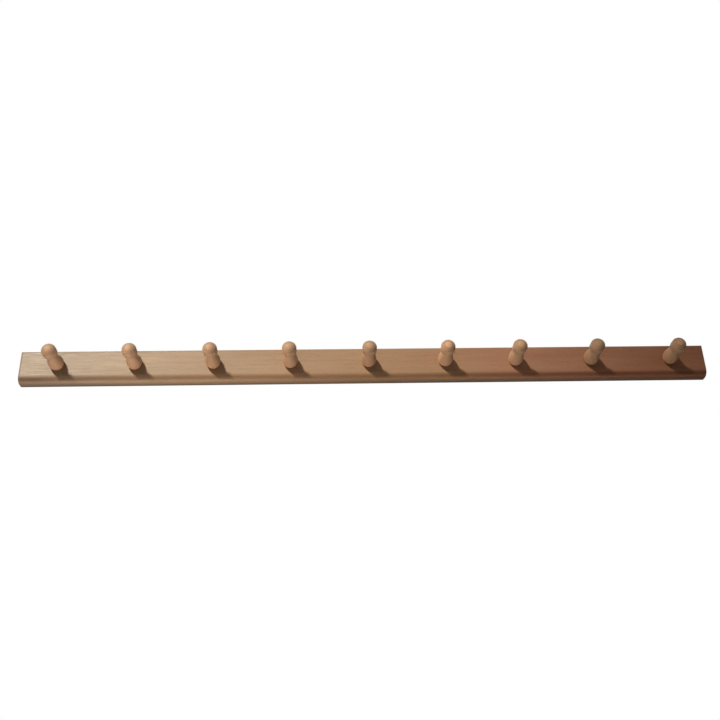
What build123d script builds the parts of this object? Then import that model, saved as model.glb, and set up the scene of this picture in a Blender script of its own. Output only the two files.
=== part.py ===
from build123d import *
import math
import os

# Wall peg rail: a board with nine turned pegs, hung on two keyhole plates let into its back.
# Millimetres. The origin is the centre of the board's back face, which lies on the wall,
# +X runs along the rail to the right as seen from the front, +Y into the wall and +Z up.

# Board
board_length = 1220.0
board_thickness = 20.6
flat_face_height = 47.3
round_over_radius = 13.2
board_height = flat_face_height + round_over_radius
front_edge_round = 3.5
back_edge_break = 0.4

board_front = -board_thickness
board_top = board_height / 2

# Pegs, turned by hand and set out by eye, so their gaps differ a little
first_peg_inset = 66.2
peg_gaps = (136.3, 137.7, 136.3, 138.7, 136.2, 125.6, 135.5, 142.6)
peg_drop = 26.7
peg_height = board_top - peg_drop
tenon_radius = 6.35
tenon_length = 16.0
tenon_chamfer = 0.8
tenon_clearance = 0.05
tenon_hole_spare = 1.0

# Peg profile, each stage as (distance out from the board's face, radius)
foot_edge = (0.0, 10.35)
foot_round = (1.3, 11.8)
foot_top = (4.2, 12.9)
belly = (9.5, 13.4)
belly_end = (18.0, 12.5)
taper_middle = (27.0, 10.3)
waist = (35.5, 8.2)
neck = (41.5, 7.3)
head_underside = (46.0, 9.0)
head_back = (50.5, 11.6)
head_rim = (54.5, 12.6)
peg_reach = 63.5

# Keyhole plates, let in flush with the board's back
plate_spacing = 950.0
plate_length = 44.0
plate_width = 16.0
plate_thickness = 2.0
plate_setback = 0.1
plate_clearance = 0.15
plate_recess = plate_thickness + plate_setback
keyhole_entry_radius = 5.0
keyhole_slot_width = 4.8
keyhole_entry_height = -5.5
keyhole_slot_top = 7.5
keyhole_pocket_radius = 5.75
keyhole_pocket_depth = 8.0

keyhole_run = keyhole_slot_top - keyhole_entry_height
keyhole_middle = (keyhole_slot_top + keyhole_entry_height) / 2

# Countersunk wood screws that hold the plates
screw_height = 17.5
screw_length = 12.7
screw_head_radius = 3.5
screw_shank_radius = 1.5
screw_point_length = 3.0
screw_cone_angle = 82.0
screw_head_depth = 0.08
cross_length = 4.0
cross_width = 1.0
cross_depth = 1.3
countersink_radius = 3.6
plate_hole_radius = 1.9
pilot_hole_radius = 1.6
pilot_hole_depth = 12.0
pilot_mouth_depth = 0.6

screw_cone_depth = (screw_head_radius - screw_shank_radius) / math.tan(math.radians(screw_cone_angle / 2))
screw_head_y = -plate_setback - screw_head_depth

sides = {"left": -1, "right": 1}


def outward_profile_plane(x, y, z):
    """Plane for a turned profile: its x runs out from the wall and its y is the radius, upwards."""
    return Plane(origin=(x, y, z), x_dir=(0, -1, 0), z_dir=(-1, 0, 0))


def back_plane(x, y):
    """Plane that faces the wall at mid height: its x runs up and its y along the rail."""
    return Plane(origin=(x, y, 0), x_dir=(0, 0, 1), z_dir=(0, 1, 0))


peg_positions = [first_peg_inset - board_length / 2]
for gap in peg_gaps:
    peg_positions.append(peg_positions[-1] + gap)

os.makedirs("parts", exist_ok=True)

# Board: one section along the whole rail, with a large round-over on its lower front edge
with BuildPart() as rail_board:
    with BuildSketch(Plane.YZ.offset(-board_length / 2)) as section:
        with Locations((-board_thickness / 2, 0)):
            Rectangle(board_thickness, board_height)
        lower_front_corner = section.vertices().group_by(Axis.Y)[0].sort_by(Axis.X)[0]
        fillet(lower_front_corner, radius=round_over_radius)
    extrude(amount=board_length)

    # The other front edges are rounded less: the upper one, and those round the two ends
    end_faces = rail_board.faces().filter_by(Axis.X)
    end_front_edges = [edge for edge in end_faces.edges() if edge.center().Y < 2 / 3 * board_front]
    upper_front_edge = rail_board.edges().filter_by(Axis.X).group_by(Axis.Z)[-1].sort_by(Axis.Y)[0]
    fillet([*end_front_edges, upper_front_edge], radius=front_edge_round)
    back_face = rail_board.faces().sort_by(Axis.Y)[-1]
    chamfer(back_face.edges(), length=back_edge_break)

    # A blind hole for each peg's tenon
    for peg_x in peg_positions:
        with Locations(Plane(origin=(peg_x, board_front, peg_height), z_dir=(0, -1, 0))):
            Hole(radius=tenon_radius + tenon_clearance, depth=tenon_length + tenon_hole_spare)

    # A recess for each keyhole plate, with a pocket for the wall screw's head and two pilot holes
    for side in sides.values():
        plate_x = side * plate_spacing / 2
        with BuildSketch(back_plane(plate_x, 0)):
            SlotOverall(plate_length + 2 * plate_clearance, plate_width + 2 * plate_clearance)
        extrude(amount=-plate_recess, mode=Mode.SUBTRACT)
        with BuildSketch(back_plane(plate_x, 0)):
            with Locations((keyhole_middle, 0)):
                SlotCenterToCenter(keyhole_run, 2 * keyhole_pocket_radius)
        extrude(amount=-keyhole_pocket_depth, mode=Mode.SUBTRACT)
        for height in (-screw_height, screw_height):
            with Locations(Plane(origin=(plate_x, -plate_recess, height), z_dir=(0, 1, 0))):
                CounterBoreHole(
                    radius=pilot_hole_radius,
                    counter_bore_radius=plate_hole_radius,
                    counter_bore_depth=pilot_mouth_depth,
                    depth=pilot_hole_depth,
                )
rail_board.part.label = "rail_board"
export_step(rail_board.part, "parts/rail_board.step")

# Pegs: tenon, rounded foot, full belly, long taper to the neck, and a mushroom head with a domed front
for number, peg_x in enumerate(peg_positions, start=1):
    seat = outward_profile_plane(peg_x, board_front, peg_height)
    with BuildPart() as peg:
        with BuildSketch(seat):
            with BuildLine():
                Polyline(
                    (peg_reach, 0),
                    (-tenon_length, 0),
                    (-tenon_length, tenon_radius - tenon_chamfer),
                    (-tenon_length + tenon_chamfer, tenon_radius),
                    (0, tenon_radius),
                    foot_edge,
                )
                Spline(
                    foot_edge,
                    foot_round,
                    foot_top,
                    belly,
                    belly_end,
                    taper_middle,
                    waist,
                    neck,
                    head_underside,
                    head_back,
                    head_rim,
                    tangents=((0.3, 1.0), (1.0, 0.0)),
                )
                EllipticalCenterArc(
                    center=(head_rim[0], 0),
                    x_radius=peg_reach - head_rim[0],
                    y_radius=head_rim[1],
                    start_angle=0,
                    arc_size=90,
                )
            make_face()
        revolve(axis=Axis(seat.origin, seat.x_dir))
    peg.part.label = f"peg_{number}"
    export_step(peg.part, f"parts/peg_{number}.step")

for side_name, side in sides.items():
    plate_x = side * plate_spacing / 2

    # Keyhole plate: a wall screw's head enters the round hole and its shank rises up the slot
    with BuildPart() as keyhole_plate:
        with BuildSketch(back_plane(plate_x, -plate_setback)):
            SlotOverall(plate_length, plate_width)
            with Locations((keyhole_entry_height, 0)):
                Circle(keyhole_entry_radius, mode=Mode.SUBTRACT)
            with Locations((keyhole_middle, 0)):
                SlotCenterToCenter(keyhole_run, keyhole_slot_width, mode=Mode.SUBTRACT)
        extrude(amount=-plate_thickness)
        for height in (-screw_height, screw_height):
            with Locations(Plane(origin=(plate_x, -plate_setback, height), z_dir=(0, 1, 0))):
                CounterSinkHole(
                    radius=plate_hole_radius,
                    counter_sink_radius=countersink_radius,
                    depth=plate_thickness,
                    counter_sink_angle=screw_cone_angle,
                )
    keyhole_plate.part.label = f"keyhole_plate_{side_name}"
    export_step(keyhole_plate.part, f"parts/keyhole_plate_{side_name}.step")

    # Its two screws, the lower one a mirror image of the upper one
    with BuildPart() as plate_screws:
        screw_seat = outward_profile_plane(plate_x, screw_head_y, screw_height)
        with BuildSketch(screw_seat):
            with BuildLine():
                Polyline(
                    (0, 0),
                    (0, screw_head_radius),
                    (screw_cone_depth, screw_shank_radius),
                    (screw_length - screw_point_length, screw_shank_radius),
                    (screw_length, 0),
                    close=True,
                )
            make_face()
        revolve(axis=Axis(screw_seat.origin, screw_seat.x_dir))
        with BuildSketch(Plane(origin=screw_seat.origin, z_dir=(0, 1, 0))):
            Rectangle(cross_length, cross_width)
            Rectangle(cross_width, cross_length)
        extrude(amount=-cross_depth, mode=Mode.SUBTRACT)
        mirror(about=Plane.XY)
    plate_screws.part.label = f"plate_screws_{side_name}"
    export_step(plate_screws.part, f"parts/plate_screws_{side_name}.step")
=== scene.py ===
import math

import bpy
from mathutils import Matrix, Vector


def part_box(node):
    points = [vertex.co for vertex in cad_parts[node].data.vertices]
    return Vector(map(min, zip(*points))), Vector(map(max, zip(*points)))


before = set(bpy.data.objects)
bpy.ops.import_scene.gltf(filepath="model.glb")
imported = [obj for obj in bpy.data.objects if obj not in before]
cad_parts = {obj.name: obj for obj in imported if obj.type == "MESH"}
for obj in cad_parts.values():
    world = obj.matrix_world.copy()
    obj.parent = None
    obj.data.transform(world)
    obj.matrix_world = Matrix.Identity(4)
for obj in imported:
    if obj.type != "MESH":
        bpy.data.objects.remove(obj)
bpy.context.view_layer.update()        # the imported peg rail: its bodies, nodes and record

board_low, board_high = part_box("rail_board")

# Camera: below the rail, looking up at it, in a frame of 720 by 720 pixels
frame_pixels = 720
focal_pixels = 919.84
sensor_width = 36.0
camera_place = Vector((-0.0593, -1.4848, -0.7247))
camera_yaw = math.radians(1.922)
camera_pitch = math.radians(26.528)
camera_roll = math.radians(-1.437)

# Light: one soft spot high on the left, whose edge falls off over the rail's right end, a soft fill
# below it that reaches the undersides, and a lamp behind the wall for the rail's back
key_place = Vector((-2.65, -4.90, 3.40))
key_aim = Vector((-0.45, 0.0, 0.0))
key_radius = 0.33
key_cone = math.radians(21.2)
key_edge = 1.0
key_power = 2045.0
fill_place = Vector((-0.50, -0.09, -0.82))
fill_aim = Vector((-0.40, 0.0, 0.0))
fill_size = 0.5
fill_power = 7.0
fill_colour = (1.0, 0.89, 0.80)
back_place = Vector((-0.7, 1.3, 0.8))
back_aim = Vector((0.0, 0.0, 0.0))
back_size = 0.8
back_power = 12.0
ambient_strength = 0.085

# Stage: a floor, and a pale wall behind the rail that is open behind the board
floor_height = -2.2
floor_size = 12.0
floor_colour = (0.84, 0.84, 0.83)
floor_roughness = 0.9
floor_glow = 0.5
wall_colour = (0.72, 0.72, 0.72)
wall_size = 2.9
wall_gap = 0.001
wall_opening_margin = 0.012

# Colours are linear, and shades and tints multiply them. Roughness varies between its two values
# with the wood's fibres or the zinc's clouds.

# Rail, greyer at its left end and redder at its right end. This is partly the wood's own tone and
# partly painted light, which follows the strength and colour of the light along the rail. The stops
# are places along it, which wander a little, and the gloss is that of its left end and its right end.
rail_stops = (-0.55, -0.30, 0.09, 0.33, 0.58)
rail_colours = (
    (0.232, 0.143, 0.086),
    (0.350, 0.210, 0.113),
    (0.404, 0.230, 0.117),
    (0.440, 0.209, 0.116),
    (0.360, 0.156, 0.082),
)
rail_deep_tint = (0.76, 0.72, 0.70)
rail_gloss = (0.60, 0.12)
rail_roughness = (0.44, 0.56)
end_grain_shade = 0.78
end_grain_sharpness = 4.0
colour_wander = 0.08
colour_wander_grain = (5.0, 30.0, 30.0)
rail_log_place = (0.4, -0.062, 0.012)
rail_log_turn = (0.0, math.radians(0.5), math.radians(-0.6))

# Painted shade in a band across the lower round-over, where it turns away from the light, from 0
# where that leaves the face to 1 at the bottom: where it begins, is full, starts to fade and ends. Its
# tint makes it darker and redder. Along the rail it grows from its least strength to full over a range
# of x, and from full at the very left end it fades over another.
round_over_height = 0.0132
round_over_shade_band = (0.12, 0.45, 0.60, 0.84)
round_over_shade_tint = (0.54, 0.45, 0.43)
round_over_shade_rise = (-0.1, 0.4)
round_over_shade_least = 0.6
round_over_shade_left_end = (-0.58, -0.52)

# Underside, the lowest stretch of the board, with painted shade: one shade comes on along the rail,
# towards its right end, over the range given, and a darker one comes on towards the wall, from the
# given reach in front of it
underside_height = 0.002
underside_fade = (-0.25, 0.1)
underside_painted_shade = 0.68
wall_contact_shade_reach = 0.014
wall_contact_shade = 0.1

# Raw wood on the back, and in the plates' recesses and screw holes, which reach this far in from
# the back and up and down from mid height
raw_pale = (0.66, 0.50, 0.34)
raw_deep = (0.50, 0.35, 0.21)
raw_roughness = 0.85
recess_depth = 0.0145
recess_half_height = 0.0235
soft_edge = 0.0006
planer_pitch = 0.0028
planer_shade = 0.94

# Pegs from left to right: each has its own shade, and a tone for the disc on its head's front that is
# partly the end grain's and partly a painted highlight; the gloss is that of the first and the last
peg_pale = (0.47, 0.272, 0.150)
peg_deep = (0.385, 0.205, 0.106)
peg_shades = (0.85, 0.94, 0.96, 0.98, 0.95, 1.17, 1.16, 0.96, 1.05)
peg_disc_tones_and_highlights = (1.08, 1.10, 1.15, 1.10, 1.19, 1.46, 1.30, 1.16, 1.36)
peg_gloss = (0.80, 0.30)
peg_roughness = (0.56, 0.68)

# Where the disc fades out away from the peg's axis, and where disc and dome fade out behind the
# head's front. The dome round the disc carries a painted shade.
end_disc_edge = (0.00495, 0.00605)
end_disc_depth = (0.004, 0.005)
dome_depth = (0.008, 0.010)
dome_painted_shade = 0.92

# Painted shade in the crease under the head, a band behind the head's front: where it begins, is full,
# starts to fade and ends. Painted shade darkens the corner at the foot, as far out from the board as
# its reach.
head_crease = (0.009, 0.013, 0.019, 0.024)
head_crease_painted_shade = 0.84
foot_reach = 0.0022
foot_painted_shade = 0.5

# Pegs in their log, one step apart along it and turned a quarter, so that their grain runs out from
# the wall. The pith is beside them, at a distance that swings a little from one to the next.
peg_log_step = 0.37
peg_log_turn = (0.0, 0.0, math.pi / 2)
pith_distance = 0.018
pith_swing = (0.003, 0.010)
pith_phase = (2.1, 1.7)

# Wood figure: metres, and features per metre along and across the grain
ring_width = 0.0034
ring_drift = 0.016
drift_grain = (1.6, 11.0, 11.0)
blotch_grain = (3.0, 26.0, 26.0)
streak_grain = (6.0, 230.0, 230.0)
fibre_grain = (26.0, 800.0, 800.0)
pore_grain = (150.0, 1500.0, 1500.0)
pore_threshold = (0.62, 0.74)
blotch_tones = (0.1, 0.8)
late_wood_sharpness = 2.5
late_wood_share = 0.16
streak_share = 0.16
fibre_share = 0.12
fleck_shade = 0.2
varnished_flecks = 0.35
raw_flecks = 0.5

# Varnish over a fine relief, in which flecks lie deeper than the fibres between them
varnish_tint = (1.0, 0.93, 0.71)
varnish_bump = 0.35
varnish_bump_height = 0.00012
fleck_sink = 0.8

# Zinc on the plates and screws
plate_zinc = (0.62, 0.62, 0.60)
plate_roughness = (0.32, 0.48)
screw_zinc = (0.66, 0.63, 0.52)
screw_roughness = (0.26, 0.42)
zinc_cloud_shade = 0.72
zinc_cloud_grain = (180.0, 180.0, 180.0)
zinc_scratch_grain = (2600.0, 2600.0, 160.0)
zinc_bump = 0.25
zinc_bump_height = 0.00005

# Most of a noise texture's values lie between the first two, round its middle
noise_low = 0.3
noise_high = 0.7
noise_middle = (0.5, 0.5, 0.5)

along_x = (1.0, 0.0, 0.0)


class Nodes:
    """A node tree, with short calls that make a node and set or link its inputs."""

    def __init__(self, tree):
        self.tree = tree
        self.tree.nodes.clear()

    def connect(self, socket, value):
        if isinstance(value, bpy.types.NodeSocket):
            self.tree.links.new(value, socket)
        elif socket.type == "RGBA" and len(value) == 3:
            socket.default_value = (*value, 1.0)
        else:
            socket.default_value = value

    def add(self, kind, inputs=None, **settings):
        node = self.tree.nodes.new(kind)
        for name, value in settings.items():
            setattr(node, name, value)
        for key, value in (inputs or {}).items():
            self.connect(node.inputs[key], value)
        return node

    def math(self, operation, first, second=0.0):
        node = self.add("ShaderNodeMath", {0: first, 1: second}, operation=operation)
        return node.outputs[0]

    def vector(self, operation, first, second=(0.0, 0.0, 0.0)):
        node = self.add("ShaderNodeVectorMath", {0: first, 1: second}, operation=operation)
        return node.outputs["Value" if operation in ("LENGTH", "DOT_PRODUCT") else "Vector"]

    def noise(self, place, per_metre, detail=2.0):
        """Noise from 0 to 1 with that many features per metre along each axis."""
        mapped = self.vector("MULTIPLY", place, per_metre)
        return self.add("ShaderNodeTexNoise", {"Vector": mapped, "Scale": 1.0, "Detail": detail}).outputs

    def remap(self, value, low, high, new_low, new_high):
        inputs = {"Value": value, "From Min": low, "From Max": high, "To Min": new_low, "To Max": new_high}
        return self.add("ShaderNodeMapRange", inputs, clamp=True).outputs["Result"]

    def spread(self, noise, new_low, new_high):
        """Noise spread over the range from new_low to new_high."""
        return self.remap(noise, noise_low, noise_high, new_low, new_high)

    def mix(self, factor, first, second):
        """Mix of two colours: inputs 6 and 7 and output 2 are the node's colour sockets."""
        return self.add("ShaderNodeMix", {0: factor, 6: first, 7: second}, data_type="RGBA").outputs[2]

    def ramp(self, value, low, high, stops, colours):
        """Colour that runs through the stops, which are values from low to high."""
        node = self.add("ShaderNodeValToRGB", {0: self.remap(value, low, high, 0.0, 1.0)})
        elements = node.color_ramp.elements
        while len(elements) < len(stops):
            elements.new(0.5)
        for element, stop, colour in zip(elements, stops, colours):
            element.position = (stop - low) / (high - low)
            element.color = (*colour, 1.0)
        return node.outputs[0]

    def seen(self):
        """1 on rays that see the surface, straight or in gloss or glass, and 0 on light that it sends on."""
        path = self.add("ShaderNodeLightPath").outputs
        direct = self.math("MAXIMUM", path["Is Camera Ray"], path["Is Glossy Ray"])
        return self.math("MAXIMUM", direct, path["Is Transmission Ray"])


class Shader(Nodes):
    """A material and its node tree."""

    def __init__(self, name):
        self.material = bpy.data.materials.new(name)
        self.material.use_nodes = True
        super().__init__(self.material.node_tree)

    def finish(self, **inputs):
        """Ends the tree with a principled surface that has those inputs, and returns the material."""
        names = {key.replace("_", " "): value for key, value in inputs.items()}
        surface = self.add("ShaderNodeBsdfPrincipled", names)
        self.add("ShaderNodeOutputMaterial", {"Surface": surface.outputs[0]})
        return self.material


class Wood(Shader):
    """Solid close-grained hardwood: rings round a pith, long fibres and short dark flecks.

    The log's own x axis is its pith. log_place and log_turn put the part in the log.
    """

    def __init__(self, name, log_place, log_turn):
        super().__init__(name)
        coordinates = self.add("ShaderNodeTexCoord")
        self.place = coordinates.outputs["Object"]
        self.normal = coordinates.outputs["Normal"]
        self.x, self.y, self.z = self.add("ShaderNodeSeparateXYZ", {0: self.place}).outputs
        log_inputs = {"Vector": self.place, "Location": log_place, "Rotation": log_turn}
        log = self.add("ShaderNodeMapping", log_inputs).outputs[0]

        drift = self.vector("SUBTRACT", self.noise(log, drift_grain)["Color"], noise_middle)
        drift = self.vector("MULTIPLY", drift, (0.0, ring_drift, ring_drift))
        from_pith = self.vector("MULTIPLY", self.vector("ADD", log, drift), (0.0, 1.0, 1.0))
        ring_count = self.math("DIVIDE", self.vector("LENGTH", from_pith), ring_width)
        late_wood = self.math("POWER", self.math("FRACT", ring_count), late_wood_sharpness)

        blotch = self.noise(log, blotch_grain, detail=3.0)["Fac"]
        streak = self.noise(log, streak_grain)["Fac"]
        self.fibre = self.noise(log, fibre_grain, detail=3.0)["Fac"]
        pores = self.noise(log, pore_grain, detail=1.0)["Fac"]
        self.fleck = self.remap(pores, *pore_threshold, 0.0, 1.0)

        tone = self.spread(blotch, *blotch_tones)
        tone = self.math("ADD", tone, self.math("MULTIPLY", late_wood, late_wood_share))
        tone = self.math("ADD", tone, self.spread(streak, -streak_share, streak_share))
        tone = self.math("ADD", tone, self.spread(self.fibre, -fibre_share, fibre_share))
        self.tone = self.remap(tone, 0.0, 1.0, 0.0, 1.0)

    def figure(self, pale, deep, flecks):
        """Colour of the wood between its pale and its deep tone."""
        colour = self.mix(self.tone, pale, deep)
        return self.darken(colour, self.math("MULTIPLY", self.fleck, flecks), fleck_shade)

    def darken(self, colour, factor, shade):
        """Where factor is 1, the colour is multiplied by shade, which may also be over 1."""
        strength = self.remap(factor, 0.0, 1.0, 1.0, shade)
        node = self.add("ShaderNodeVectorMath", {0: colour, "Scale": strength}, operation="SCALE")
        return node.outputs["Vector"]

    def tinted(self, colour, factor, tint):
        """Where factor is 1, the colour is multiplied by the tint."""
        return self.mix(factor, colour, self.vector("MULTIPLY", colour, tint))

    def band(self, value, stops):
        """1 while value lies between the two middle stops, fading to 0 at the outer ones."""
        begin, full, fade, end = stops
        rise = self.remap(value, begin, full, 0.0, 1.0)
        fall = self.remap(value, fade, end, 1.0, 0.0)
        return self.math("MINIMUM", rise, fall)

    def facing(self, direction, sharpness):
        """1 where the surface faces that direction or its opposite, 0 across it."""
        facing = self.math("ABSOLUTE", self.vector("DOT_PRODUCT", self.normal, direction))
        return self.math("POWER", facing, sharpness)

    def varnish(self, colour, roughness, gloss):
        """Ends the tree with varnish over the wood's fine relief, and returns the material."""
        height = self.math("SUBTRACT", self.fibre, self.math("MULTIPLY", self.fleck, fleck_sink))
        bump_inputs = {"Height": height, "Strength": varnish_bump, "Distance": varnish_bump_height}
        bump = self.add("ShaderNodeBump", bump_inputs)
        return self.finish(
            Base_Color=colour,
            Roughness=roughness,
            Specular_IOR_Level=gloss,
            Specular_Tint=varnish_tint,
            Normal=bump.outputs[0],
        )


def scaled(colour, factor):
    return tuple(factor * value for value in colour)


def lower_edge_painted_shade(wood, colour, end_facing):
    """Painted shade where the lower round-over starts, but not on the ends, and painted shade on the
    underside below it, towards the wall and towards the right.
    """
    # Painted shade across the round-over, in a darker, redder tint
    turned = wood.remap(wood.z, board_low.z, board_low.z + round_over_height, 1.0, 0.0)
    along_rail = wood.math("SUBTRACT", 1.0, end_facing)
    round_over_shade = wood.math("MULTIPLY", wood.band(turned, round_over_shade_band), along_rail)
    to_right = wood.remap(wood.x, *round_over_shade_rise, round_over_shade_least, 1.0)
    at_left_end = wood.remap(wood.x, *round_over_shade_left_end, 1.0, 0.0)
    round_over_shade = wood.math("MULTIPLY", round_over_shade, wood.math("MAXIMUM", to_right, at_left_end))
    colour = wood.tinted(colour, round_over_shade, round_over_shade_tint)

    # Painted shade on the underside, darker towards the wall and towards the right end
    near_wall = wood.remap(wood.y, -wall_contact_shade_reach, board_high.y, 0.0, 1.0)
    underneath = wood.remap(wood.z, board_low.z, board_low.z + underside_height, 1.0, 0.0)
    colour = wood.darken(colour, wood.math("MULTIPLY", near_wall, underneath), wall_contact_shade)
    darker_right = wood.math("MULTIPLY", underneath, wood.remap(wood.x, *underside_fade, 0.0, 1.0))
    return wood.darken(colour, darker_right, underside_painted_shade)


def raw_zone(wood):
    """1 on the back and in the recesses and screw holes, 0 where the board is varnished."""
    inside = wood.remap(wood.y, -recess_depth - soft_edge, -recess_depth, 0.0, 1.0)
    for across, limit in ((wood.z, recess_half_height), (wood.x, board_high.x - soft_edge)):
        distance = wood.math("ABSOLUTE", across)
        inside = wood.math("MULTIPLY", inside, wood.remap(distance, limit, limit + soft_edge, 1.0, 0.0))
    back = wood.remap(wood.y, board_high.y - soft_edge, board_high.y, 0.0, 1.0)
    return wood.math("MAXIMUM", inside, back)


def planed_wood(wood):
    """Raw wood with the fine ridges that a planer leaves across it."""
    raw = wood.figure(raw_pale, raw_deep, raw_flecks)
    ridge = wood.math("SINE", wood.math("MULTIPLY", wood.x, 2 * math.pi / planer_pitch))
    return wood.darken(raw, wood.remap(ridge, -1.0, 1.0, 0.0, 1.0), planer_shade)


def rail_material():
    """Varnished board with painted shade along its lower edge, and raw at the back."""
    wood = Wood("rail_wood", rail_log_place, rail_log_turn)
    wander = wood.spread(wood.noise(wood.place, colour_wander_grain)["Fac"], -colour_wander, colour_wander)
    along = wood.math("ADD", wood.x, wander)
    # Tone along the rail: partly the wood's own, partly painted light that follows the light along it
    pale = wood.ramp(along, board_low.x, board_high.x, rail_stops, rail_colours)
    colour = wood.figure(pale, wood.vector("MULTIPLY", pale, rail_deep_tint), varnished_flecks)
    end_facing = wood.facing(along_x, end_grain_sharpness)
    colour = wood.darken(colour, end_facing, end_grain_shade)
    colour = lower_edge_painted_shade(wood, colour, end_facing)

    raw = raw_zone(wood)
    colour = wood.mix(raw, colour, planed_wood(wood))
    roughness = wood.spread(wood.fibre, *rail_roughness)
    roughness = wood.math("MAXIMUM", roughness, wood.math("MULTIPLY", raw, raw_roughness))
    gloss = wood.remap(wood.x, board_low.x, board_high.x, *rail_gloss)
    return wood.varnish(colour, roughness, gloss)


def head_front(wood, colour, centre, tip, disc_tone_and_highlight):
    """Disc in the middle of the head's front, partly the end grain's tone and partly a painted highlight,
    and painted shade on the dome round it.
    """
    off_axis = wood.vector("SUBTRACT", wood.place, (centre.x, 0.0, centre.z))
    off_axis = wood.vector("LENGTH", wood.vector("MULTIPLY", off_axis, (1.0, 0.0, 1.0)))
    disc = wood.remap(off_axis, *end_disc_edge, 1.0, 0.0)
    full, end = end_disc_depth
    disc = wood.math("MULTIPLY", disc, wood.remap(wood.y, tip + full, tip + end, 1.0, 0.0))
    full, end = dome_depth
    on_dome = wood.remap(wood.y, tip + full, tip + end, 1.0, 0.0)
    # Painted shade on the dome round the disc, and on the disc a painted highlight, partly end grain's tone
    round_disc = wood.math("SUBTRACT", on_dome, disc)
    return wood.darken(wood.darken(colour, round_disc, dome_painted_shade), disc, disc_tone_and_highlight)


def peg_material(number, centre, tip, shade, disc_tone_and_highlight):
    """Varnished turned wood, grain along the peg, with painted shade in the corner at its foot and under its
    head.
    """
    beside_pith = Vector((
        pith_distance + pith_swing[0] * math.sin(pith_phase[0] * number),
        pith_swing[1] * math.cos(pith_phase[1] * number),
    ))
    log_place = (peg_log_step * number, beside_pith.x - centre.x, beside_pith.y - centre.z)
    wood = Wood(f"peg_wood_{number}", log_place, peg_log_turn)
    colour = wood.figure(scaled(peg_pale, shade), scaled(peg_deep, shade), varnished_flecks)
    colour = head_front(wood, colour, centre, tip, disc_tone_and_highlight)
    # Painted shade in the corner at the foot, and in the crease under the head
    foot = wood.remap(wood.y, board_low.y - foot_reach, board_low.y, 0.0, 1.0)
    colour = wood.darken(colour, foot, foot_painted_shade)
    behind_tip = wood.math("SUBTRACT", wood.y, tip)
    colour = wood.darken(colour, wood.band(behind_tip, head_crease), head_crease_painted_shade)
    first_gloss, last_gloss = peg_gloss
    gloss = first_gloss + (last_gloss - first_gloss) * (number - 1) / (len(peg_shades) - 1)
    return wood.varnish(colour, wood.spread(wood.fibre, *peg_roughness), gloss)


def zinc_material(name, colour, roughness):
    """Zinc-plated steel: cloudy, with fine scratches."""
    shader = Shader(name)
    place = shader.add("ShaderNodeTexCoord").outputs["Object"]
    cloud = shader.noise(place, zinc_cloud_grain, detail=4.0)["Fac"]
    scratch = shader.noise(place, zinc_scratch_grain)["Fac"]
    shade = shader.mix(shader.spread(cloud, 0.0, 1.0), colour, scaled(colour, zinc_cloud_shade))
    bump_inputs = {"Height": scratch, "Strength": zinc_bump, "Distance": zinc_bump_height}
    bump = shader.add("ShaderNodeBump", bump_inputs)
    return shader.finish(
        Base_Color=shade,
        Metallic=1.0,
        Roughness=shader.spread(cloud, *roughness),
        Normal=bump.outputs[0],
    )


def dress(node_name, material):
    """Gives a CAD node that one material."""
    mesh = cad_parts[node_name].data
    mesh.materials.clear()
    mesh.materials.append(material)
    for polygon in mesh.polygons:
        polygon.material_index = 0


def dress_part():
    dress("rail_board", rail_material())
    for number, shades in enumerate(zip(peg_shades, peg_disc_tones_and_highlights), start=1):
        low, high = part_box(f"peg_{number}")
        dress(f"peg_{number}", peg_material(number, (low + high) / 2, low.y, *shades))
    for side in ("left", "right"):
        dress(f"keyhole_plate_{side}", zinc_material(f"zinc_plate_{side}", plate_zinc, plate_roughness))
        dress(f"plate_screws_{side}", zinc_material(f"zinc_screw_{side}", screw_zinc, screw_roughness))


def make_camera():
    forward = Vector((
        math.sin(camera_yaw) * math.cos(camera_pitch),
        math.cos(camera_yaw) * math.cos(camera_pitch),
        math.sin(camera_pitch),
    ))
    level = forward.cross(Vector((0, 0, 1))).normalized()
    upright = level.cross(forward)
    right = level * math.cos(camera_roll) + upright * math.sin(camera_roll)
    up = upright * math.cos(camera_roll) - level * math.sin(camera_roll)
    turn = Matrix((right, up, -forward)).transposed().to_4x4()
    lens = bpy.data.cameras.new("camera")
    lens.sensor_width = sensor_width
    lens.lens = focal_pixels / frame_pixels * sensor_width
    camera = bpy.data.objects.new("camera", lens)
    camera.matrix_world = Matrix.Translation(camera_place) @ turn
    bpy.context.scene.collection.objects.link(camera)
    bpy.context.scene.camera = camera


def make_lamp(name, kind, place, target, power):
    """Lamp at place that looks at target."""
    light = bpy.data.lights.new(name, kind)
    light.energy = power
    lamp = bpy.data.objects.new(name, light)
    turn = (target - place).to_track_quat("-Z", "Y").to_matrix().to_4x4()
    lamp.matrix_world = Matrix.Translation(place) @ turn
    bpy.context.scene.collection.objects.link(lamp)
    return light


def make_disc_lamp(name, place, target, power, size):
    light = make_lamp(name, "AREA", place, target, power)
    light.shape = "DISK"
    light.size = size
    return light


def make_lamps():
    key = make_lamp("key", "SPOT", key_place, key_aim, key_power)
    key.shadow_soft_size = key_radius
    key.spot_size = key_cone
    key.spot_blend = key_edge
    fill = make_disc_lamp("fill", fill_place, fill_aim, fill_power, fill_size)
    fill.color = fill_colour
    make_disc_lamp("back", back_place, back_aim, back_power, back_size)


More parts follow.
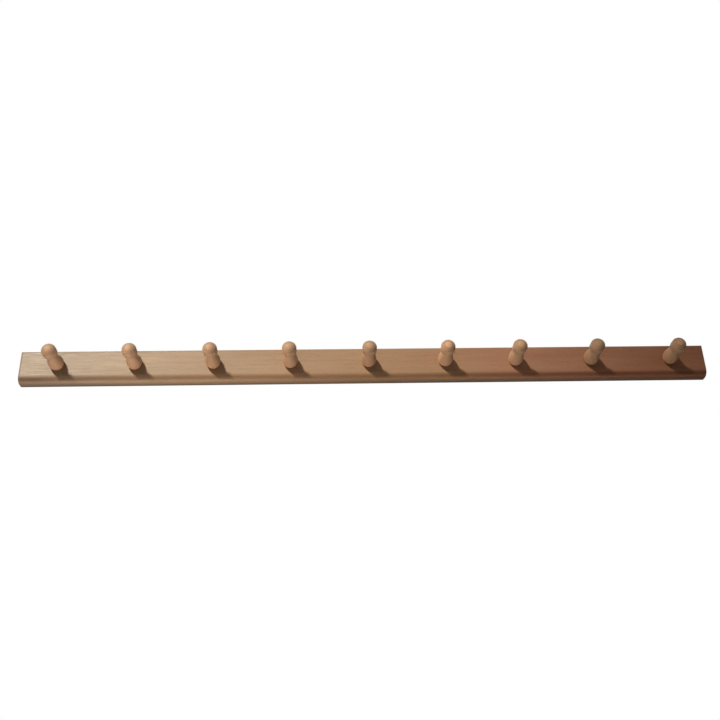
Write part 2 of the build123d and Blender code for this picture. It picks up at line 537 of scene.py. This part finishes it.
def make_world():
    """White where it is seen, also in gloss and glass, and a dim even light on everything else."""
    world = bpy.data.worlds.new("studio")
    world.use_nodes = True
    nodes = Nodes(world.node_tree)
    strength = nodes.remap(nodes.seen(), 0.0, 1.0, ambient_strength, 1.0)
    background = nodes.add("ShaderNodeBackground", {"Color": (1.0, 1.0, 1.0), "Strength": strength})
    nodes.add("ShaderNodeOutputWorld", {"Surface": background.outputs[0]})
    bpy.context.scene.world = world


def stage_mesh(name, corners, faces, material):
    """Mesh that belongs to the stage and not to the part."""
    mesh = bpy.data.meshes.new(name)
    mesh.from_pydata(corners, [], faces)
    mesh.materials.append(material)
    stage_object = bpy.data.objects.new(name, mesh)
    bpy.context.scene.collection.objects.link(stage_object)


def rectangle(half_width, low, high):
    """Corners in order, from the lower left."""
    return [(-half_width, low), (half_width, low), (half_width, high), (-half_width, high)]


def make_floor():
    """Pale floor that glows where it is seen, but adds nothing to the light that reaches the rail."""
    half = floor_size / 2
    corners = [(x, y, floor_height) for x, y in rectangle(half, -half, half)]
    shader = Shader("floor_paint")
    paint = shader.finish(
        Base_Color=floor_colour,
        Roughness=floor_roughness,
        Emission_Color=floor_colour,
        Emission_Strength=shader.math("MULTIPLY", shader.seen(), floor_glow),
    )
    stage_mesh("floor", corners, [(0, 1, 2, 3)], paint)


def make_wall():
    """Pale wall that light meets and the camera looks through, open behind the board."""
    shader = Shader("wall_paint")
    paint = shader.add("ShaderNodeBsdfDiffuse", {"Color": wall_colour})
    clear = shader.add("ShaderNodeBsdfTransparent")
    mixed = shader.add("ShaderNodeMixShader", {0: shader.seen(), 1: paint.outputs[0], 2: clear.outputs[0]})
    shader.add("ShaderNodeOutputMaterial", {"Surface": mixed.outputs[0]})
    outer = rectangle(wall_size / 2, -wall_size / 2, wall_size / 2)
    margin = wall_opening_margin
    inner = rectangle(board_high.x + margin, board_low.z - margin, board_high.z + margin)
    corners = [(x, wall_gap, z) for x, z in outer + inner]
    faces = [(side, (side + 1) % 4, 4 + (side + 1) % 4, 4 + side) for side in range(4)]
    stage_mesh("wall", corners, faces, shader.material)


dress_part()
make_camera()
make_lamps()
make_world()
make_floor()
make_wall()
bpy.context.scene.view_settings.view_transform = "Standard"
